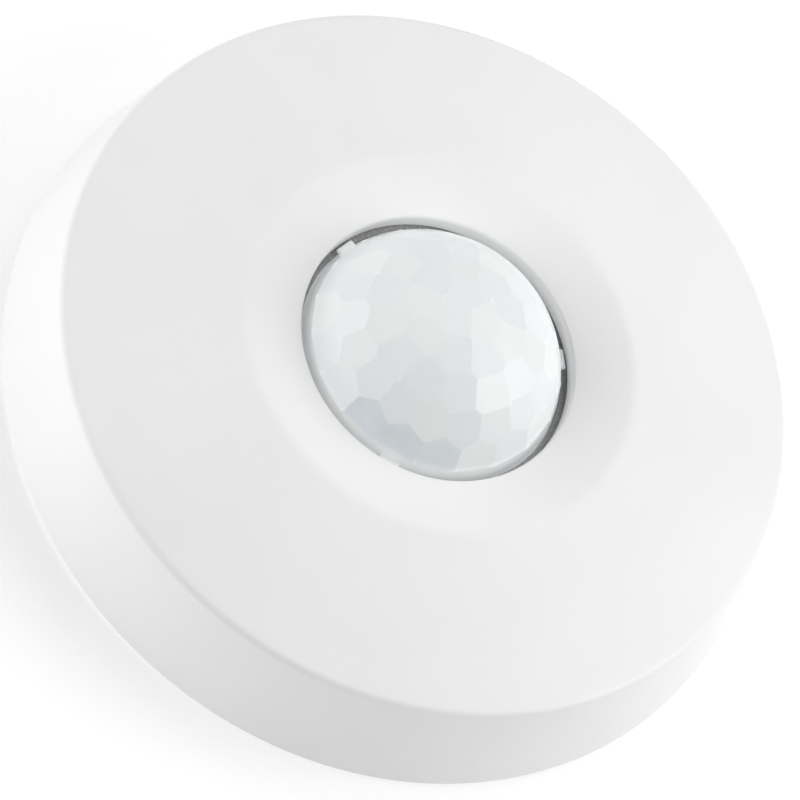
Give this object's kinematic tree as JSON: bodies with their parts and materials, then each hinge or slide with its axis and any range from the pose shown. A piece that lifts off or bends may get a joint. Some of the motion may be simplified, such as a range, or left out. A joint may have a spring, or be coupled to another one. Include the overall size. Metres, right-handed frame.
{
  "type": "motion sensor",
  "caption": "Round ceiling motion sensor: dished white cover, domed Fresnel lens, battery-powered radio head on a twist-lock bracket, with tamper and setting switches.",
  "frame": {"origin": "centre of the mounting bracket's back face, which lies on the ceiling in use", "axes": "+Z from the bracket out through the lens; +X and +Y in the plane of the bracket, the batteries lie along X on the +Y and -Y sides"},
  "size_m": [0.1134, 0.1134, 0.0325],
  "materials": {
    "white_abs": "satin moulded white",
    "grey_abs": "satin moulded light grey",
    "lens_plastic": "milky translucent polyethylene, smooth outside",
    "black_foam": "closed-cell foam",
    "board_green": "green solder mask",
    "black_plastic": "matt",
    "tin_plate": "tinned",
    "steel": "zinc plated",
    "filter_glass": "dark infrared filter",
    "natural_plastic": "natural nylon",
    "battery_wrap": "plain shrink sleeve",
    "led_epoxy": "clear red",
    "switch_red": "matt"
  },
  "bodies": {
    "bracket": {"mounting_bracket": "white_abs"},
    "head": {"rear_housing": "grey_abs", "circuit_board": "board_green", "board_screw_1": "steel", "board_screw_2": "steel", "board_screw_3": "steel", "pyro_spacer": "natural_plastic", "pyro_can": "tin_plate", "pyro_window": "filter_glass", "pyro_shroud": "natural_plastic", "radio_board": "board_green", "radio_shield": "tin_plate", "controller_chip": "black_plastic", "crystal_can": "tin_plate", "capacitor_1": "black_plastic", "capacitor_2": "black_plastic", "status_led": "led_epoxy", "antenna_coil": "steel", "battery_1": "battery_wrap", "battery_2": "battery_wrap", "contact_spring_1": "steel", "contact_spring_2": "steel", "contact_plate_1": "tin_plate", "contact_plate_2": "tin_plate", "tamper_switch": "black_plastic", "learn_switch": "black_plastic", "rear_tamper_switch": "black_plastic", "dip_switch": "switch_red"},
    "cover": {"front_cover": "white_abs", "lens": "lens_plastic", "lens_gasket": "black_foam", "lens_retainer": "grey_abs", "retainer_screw_1": "steel", "retainer_screw_2": "steel", "retainer_screw_3": "steel"},
    "cover_tamper": {"tamper_plunger": "switch_red"},
    "learn_button": {"learn_plunger": "switch_red"},
    "wall_tamper": {"rear_tamper_plunger": "switch_red"},
    "dip_1": {"dip_slider_1": "natural_plastic"},
    "dip_2": {"dip_slider_2": "natural_plastic"}
  },
  "joints": [
    {"name": "head_twist", "type": "hinge", "parent": "bracket", "child": "head", "pos_m": [0, 0, 0], "axis": [0, 0, 1], "range_deg": [0, 18]},
    {"name": "cover_lift", "type": "slide", "parent": "head", "child": "cover", "axis": [0, 0, 1], "range_m": [0, 0.04]},
    {"name": "cover_tamper_press", "type": "slide", "parent": "head", "child": "cover_tamper", "axis": [0, 0, -1], "range_m": [0, 0.001], "stiffness_N_per_m": 300, "springref_m": -0.002},
    {"name": "learn_press", "type": "slide", "parent": "head", "child": "learn_button", "axis": [0, 0, -1], "range_m": [0, 0.0005], "stiffness_N_per_m": 300, "springref_m": -0.002},
    {"name": "wall_tamper_press", "type": "slide", "parent": "head", "child": "wall_tamper", "axis": [0, 0, 1], "range_m": [0, 0.001], "stiffness_N_per_m": 300, "springref_m": -0.002},
    {"name": "dip_1_slide", "type": "slide", "parent": "head", "child": "dip_1", "axis": [0, 1, 0], "range_m": [0, 0.0015]},
    {"name": "dip_2_slide", "type": "slide", "parent": "head", "child": "dip_2", "axis": [0, 1, 0], "range_m": [0, 0.0015]}
  ]
}
